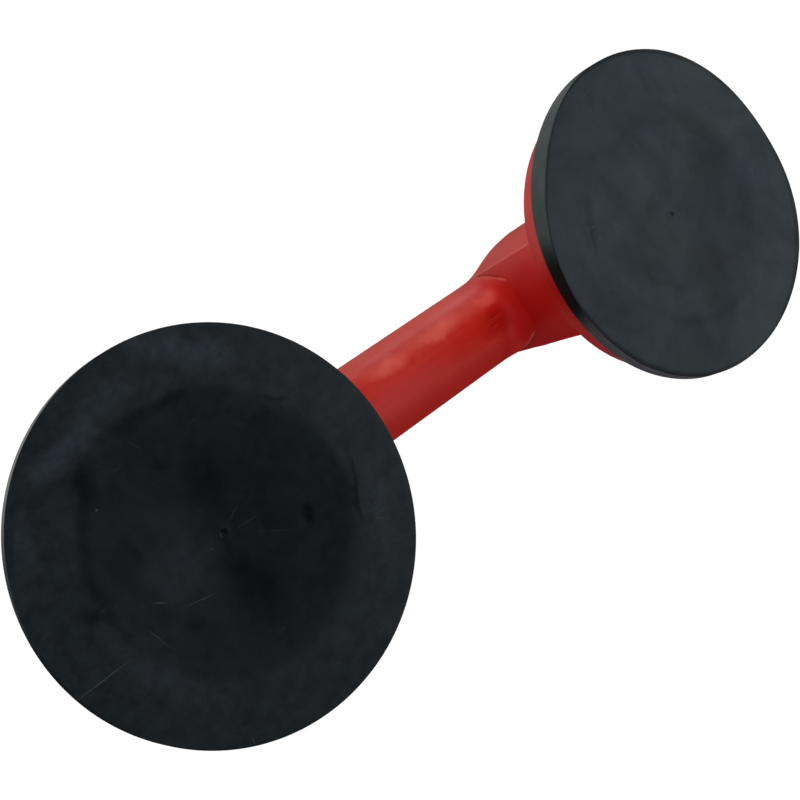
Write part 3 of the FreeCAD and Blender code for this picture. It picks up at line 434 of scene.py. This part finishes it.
def pad_profile(dimple=1.0):
    """Radius and height in mm from the dish's centre, round the rim, to the hub."""
    pts = [(0.0, 3.40), (0.3, 3.38), (0.55, 3.30), (0.75, 3.10), (0.9, 2.90), (1.1, 2.78), (1.5, 2.76), (1.9, 2.81), (3.0, 2.81)]
    pts = [(q[0] * dimple, 2.78 + (q[1] - 2.78) * dimple) for q in pts[:-1]] + pts[-1:]
    for r in np.arange(4.0, 41.1, 1.0):  # shallow dish, almost straight sided
        s = np.interp(r, [3, 12, 22, 32, 38, 41], [2.81, 2.50, 1.62, 0.74, 0.14, 0.0])
        pts.append((float(r), float(s)))
    for r in np.arange(43.0, 57.1, 2.0):
        pts.append((float(r), 0.0))
    foot, lip, top, back = (59.2, 0.0), (59.4, 4.6), (58.7, 6.0), (48.0, 6.0)
    corner(pts, (50, 0), foot, lip, 0.20, 5)
    for s in (0.25, 0.5, 0.75):
        pts.append((foot[0] + (lip[0] - foot[0]) * s, lip[1] * s))
    corner(pts, foot, lip, top, 0.5, 4)
    corner(pts, lip, top, back, 0.35, 3)
    pts += [(54.0, 6.0), (48.0, 6.0), (40.0, 6.7), (32.0, 7.5), (25.0, 8.2), (22.2, 9.4), (21.5, 10.2), (20.7, 11.0), (14.0, 11.0), (5.5, 11.0), (5.5, 10.2)]
    return pts


def make_pad(label, side):
    prof = pad_profile(1.0 if side < 0 else 0.75)
    n = 288
    ang = np.arange(n) * 2 * math.pi / n
    rad = np.array([p[0] for p in prof]) / 1000
    hgt = np.array([p[1] for p in prof]) / 1000
    rings = len(prof)
    R, A = np.meshgrid(rad[1:], ang, indexing="ij")
    Z = np.repeat(hgt[1:, None], n, 1)
    verts = np.stack([R * np.cos(A), R * np.sin(A), Z], -1).reshape(-1, 3)
    verts = np.vstack([[0.0, 0.0, hgt[0]], verts])
    r = np.hypot(verts[:, 0], verts[:, 1])
    a = np.arctan2(verts[:, 1], verts[:, 0])
    under = np.concatenate([[True], np.repeat(np.arange(1, rings) < 60, n)])
    # slow unevenness of the moulded dish, and a little waviness of the rim
    seed = 1.3 if side < 0 else 4.1
    dish = smooth(0.004, 0.012, r) * (1 - smooth(0.036, 0.041, r)) * under
    verts[:, 2] += dish * 1e-3 * (0.10 * np.sin(3 * a + seed) + 0.07 * np.sin(5 * a + 2 * seed + r * 120))
    rim = smooth(0.046, 0.0585, r)
    if side > 0:
        wave = 0.25 * (1 + np.sin(3 * a - 1.1)) / 2 + 0.12 * (1 + np.sin(2 * a + 0.6)) / 2
        at = [-169, -154, -140, -129, -119, -108, -96, -82, -69, -56, -44, -33, -23, -14, -5, 3, 11, 19, 27, 35, 45, 55, 66, 78, 92, 105, 119, 131, 143, 155, 170, 191]
        out = [0.1, 0.35, 0.2, 0.0, 0.05, 0.1, 0.05, 0.25, 0.45, 0.75, 0.6, 0.35, -0.1, -0.5, -0.5, 0.0, 0.65, 1.0, 1.2, 1.15, 0.9, 0.5, 0.15, -0.1, -0.2, 0.1, 0.25, 0.3, 0.5, 0.2, 0.1, 0.1]
        deg = np.degrees(a)
        spread = sum(np.interp((deg + k + 169) % 360 - 169, at, out) for k in (-6, -3, 0, 3, 6)) / 5
    else:
        wave = 0.14 * (1 + np.sin(2 * a + 2.1)) / 2 + 0.05 * (1 + np.sin(5 * a)) / 2
        spread = 0.08 + 0.38 * np.cos(a - math.radians(33))
    verts[:, 2] += rim * under * wave * 1e-3
    if side > 0:
        # one stretch of the foot is rolled in, so the side wall leans there
        inward = np.interp((deg + 360) % 360, [165, 172, 180, 190, 200, 208, 215, 223, 232, 240, 248, 258, 268], [0, 0.1, 0.4, 1.1, 2.0, 2.6, 3.0, 3.0, 2.5, 1.9, 1.2, 0.3, 0])
        low = 1 - np.clip(verts[:, 2] / 0.0046, 0, 1)
        spread = spread - inward * low * smooth(0.045, 0.0592, r) / np.maximum(rim, 0.02)
    grow = 1 + rim * spread * 1e-3 / np.maximum(r, 1e-6)
    verts[:, 0] *= grow
    verts[:, 1] *= grow
    verts[:, 0] += side * CUP
    faces = [(0, 1 + (k + 1) % n, 1 + k) for k in range(n)]
    for i in range(rings - 2):
        b0, b1 = 1 + i * n, 1 + (i + 1) * n
        for k in range(n):
            j = (k + 1) % n
            faces.append((b0 + k, b0 + j, b1 + j, b1 + k))
    last = 1 + (rings - 2) * n
    faces.append(tuple(last + k for k in range(n)))
    me = bpy.data.meshes.new(label)
    me.from_pydata([tuple(v) for v in verts], [], faces)
    me.validate()
    for poly in me.polygons:
        poly.use_smooth = True
    obj = bpy.data.objects.new(label, me)
    bpy.context.scene.collection.objects.link(obj)
    bm = bmesh.new()
    bm.from_mesh(me)
    bmesh.ops.recalc_face_normals(bm, faces=bm.faces)
    bm.to_mesh(me)
    bm.free()
    half = label.split("_")[0]
    me.materials.append(mats["rubber_" + half])
    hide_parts(half + "_rubber_pad")
    # the ring stays with the handle and the centre goes with the draw stud
    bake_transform(obj, "root", half + "_draw", start=(side * CUP, 0, 0), end=(side * CUP, 0, 0.011))
    weight = 1 - smooth(0.0215, 0.041, r)
    me.attributes["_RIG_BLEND"].data.foreach_set("value", weight.astype(np.float32))
    return obj


def make_spring(label, half, side):
    """Return spring: its top coil stays under the shroud, its foot goes with the washer."""
    lo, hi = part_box(half + "_return_spring")
    wire = 0.0006
    centre = np.array([side * CUP, 0.0])
    mean = (hi.y - lo.y) / 2 - wire
    z0, z1 = lo.z + wire, hi.z - wire
    turns = (z1 - z0) / 0.00175
    steps, ring = int(turns * 56), 12
    verts, faces = [], []
    for i in range(steps + 1):
        s = i / steps
        phi = 2 * math.pi * turns * s + (0 if side > 0 else math.pi)
        # a little closer wound at both ends
        z = z0 + (z1 - z0) * (s - 0.035 * math.sin(2 * math.pi * s))
        out = np.array([math.cos(phi), math.sin(phi), 0.0])
        for k in range(ring):
            b = 2 * math.pi * k / ring
            q = np.array([centre[0], centre[1], z]) + out * (mean + wire * math.cos(b)) + np.array([0, 0, wire * math.sin(b)])
            verts.append(tuple(q))
    for i in range(steps):
        for k in range(ring):
            j = (k + 1) % ring
            faces.append((i * ring + k, i * ring + j, (i + 1) * ring + j, (i + 1) * ring + k))
    faces.append(tuple(range(ring)))
    faces.append(tuple(steps * ring + k for k in reversed(range(ring))))
    me = bpy.data.meshes.new(label)
    me.from_pydata(verts, [], faces)
    me.validate()
    bm = bmesh.new()
    bm.from_mesh(me)
    bmesh.ops.recalc_face_normals(bm, faces=bm.faces)
    bm.to_mesh(me)
    bm.free()
    for poly in me.polygons:
        poly.use_smooth = len(poly.vertices) == 4
    obj = bpy.data.objects.new(label, me)
    bpy.context.scene.collection.objects.link(obj)
    me.materials.append(mats["spring_steel"])
    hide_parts(half + "_return_spring")
    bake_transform(obj, "root", half + "_draw", start=(side * CUP, 0, z1), end=(side * CUP, 0, z0))
    return obj


for half, side in SIDES:
    make_pad(half + "_pad_rubber", side)
    make_spring(half + "_coil_spring", half, side)


# ---------------------------------------------------------------------- world
world = bpy.data.worlds.new("soft_studio")
bpy.context.scene.world = world
world.use_nodes = True
w = Tree(world.node_tree)
direction = w.add("ShaderNodeTexCoord").outputs["Generated"]
room = w.noise(direction, 3.4, 2.0, 0.5, 0.2)
dim = w.mix(w.ramp(room, 0.44, 0.60), (0.020, 0.024, 0.030), (0.120, 0.130, 0.145))
dim = w.mix(w.ramp(w.vec("DOT_PRODUCT", direction, (0.0, 0.10, 0.99)), -0.10, 0.55), dim, (0.022, 0.022, 0.024))
def patch(base, toward, low, high, colour):
    where = w.ramp(w.vec("DOT_PRODUCT", direction, tuple(Vector(toward).normalized())), low, high)
    return w.mix(where, base, colour)


dim = patch(dim, (0.78, 0.10, -0.62), 0.84, 0.97, (1.08, 1.22, 1.34))  # tall pale wall, mirrored in the far pad
dim = patch(dim, (0.15, -0.93, 0.30), 0.45, 0.90, (0.66, 0.60, 0.54))  # window side
dim = patch(dim, (-0.25, -0.60, 0.76), 0.89, 0.96, (1.90, 1.80, 1.70))  # bright panel overhead
white = w.add("ShaderNodeBackground", {"Color": (1.03, 1.03, 1.03), "Strength": 1.0})
studio = w.add("ShaderNodeBackground", {"Color": dim, "Strength": 1.0})
pick = w.add("ShaderNodeMixShader")
w.tree.links.new(w.add("ShaderNodeLightPath").outputs["Is Camera Ray"], pick.inputs[0])
w.tree.links.new(studio.outputs[0], pick.inputs[1])
w.tree.links.new(white.outputs[0], pick.inputs[2])
wo = w.add("ShaderNodeOutputWorld")
w.tree.links.new(pick.outputs[0], wo.inputs["Surface"])


# --------------------------------------------------------------------- lights
def area(name, place, aim, size, power, diffuse=True, glossy=True):
    data = bpy.data.lights.new(name, "AREA")
    data.shape = "RECTANGLE"
    data.size, data.size_y = size
    data.energy = power
    obj = bpy.data.objects.new(name, data)
    obj.location = place
    obj.rotation_euler = (Vector(aim) - Vector(place)).to_track_quat("-Z", "Y").to_euler()
    obj.visible_diffuse = diffuse
    obj.visible_glossy = glossy
    bpy.context.scene.collection.objects.link(obj)
    return obj


area("key", (-0.35, -0.95, -0.80), (0.0, 0.0, 0.03), (0.9, 0.6), 9.5, glossy=False)
area("left_fill", (-0.95, 0.12, -0.80), (0.0, 0.0, 0.03), (0.8, 0.8), 3.8, glossy=False)
area("streak", (0.61, -1.02, 0.20), (0.0, 0.0, 0.04), (0.45, 0.30), 1.1, diffuse=False)
area("low_fill", (0.25, 0.95, -0.75), (0.0, 0.0, 0.03), (0.9, 0.9), 4.6, glossy=False)


def sun(name, toward, energy, spread, glossy):
    data = bpy.data.lights.new(name, "SUN")
    data.energy = energy
    data.angle = math.radians(spread)
    obj = bpy.data.objects.new(name, data)
    obj.rotation_euler = Vector(toward).to_track_quat("Z", "Y").to_euler()
    obj.visible_glossy = glossy
    bpy.context.scene.collection.objects.link(obj)


sun("top_soft", (-0.05, 0.10, 0.99), 1.7, 50, False)
sun("back_low", (0.05, 0.92, 0.35), 1.0, 40, False)


# ---------------------------------------------------------------------- floor
def make_floor():
    me = bpy.data.meshes.new("floor")
    s = 40.0
    me.from_pydata([(-s, -s, -0.0006), (s, -s, -0.0006), (s, s, -0.0006), (-s, s, -0.0006)], [], [(0, 1, 2, 3)])
    obj = bpy.data.objects.new("floor", me)
    bpy.context.scene.collection.objects.link(obj)
    mat = bpy.data.materials.new("pale_floor")
    mat.use_nodes = True
    t = Tree(mat.node_tree)
    out = t.add("ShaderNodeOutputMaterial")
    pale = t.add("ShaderNodeBsdfDiffuse", {"Color": (0.78, 0.78, 0.77)})
    clear = t.add("ShaderNodeBsdfTransparent", {"Color": (1.0, 1.0, 1.0)})
    back = t.add("ShaderNodeNewGeometry").outputs["Backfacing"]
    both = t.add("ShaderNodeMixShader")
    t.put(both.inputs[0], back)
    t.tree.links.new(pale.outputs[0], both.inputs[1])
    t.tree.links.new(clear.outputs[0], both.inputs[2])
    t.tree.links.new(both.outputs[0], out.inputs["Surface"])
    me.materials.append(mat)
    obj.visible_diffuse = False
    obj.visible_glossy = False
    obj.visible_transmission = False
    obj.visible_shadow = False
    return obj


make_floor()

# --------------------------------------------------------------------- camera
cam_data = bpy.data.cameras.new("camera")
cam = bpy.data.objects.new("camera", cam_data)
bpy.context.scene.collection.objects.link(cam)
cam_data.sensor_width = 36.0
cam_data.lens = 1127.41 / 800 * 36.0
cam_data.shift_x = 0.0
cam_data.shift_y = 0.09375
right, up, back = Vector((0.71916, 0.51774, -0.46341)), Vector((0.53734, -0.83724, -0.10151)), Vector((-0.44054, -0.17600, -0.88031))
cam.matrix_world = Matrix(
    (
        (right.x, up.x, back.x, -0.196875),
        (right.y, up.y, back.y, -0.043518),
        (right.z, up.z, back.z, -0.298940),
        (0, 0, 0, 1),
    )
)
cam_data.clip_start, cam_data.clip_end = 0.005, 100.0
bpy.context.scene.camera = cam
bpy.context.scene.view_settings.view_transform = "Standard"
bpy.context.scene.view_settings.look = "None"

bpy.context.view_layer.update()
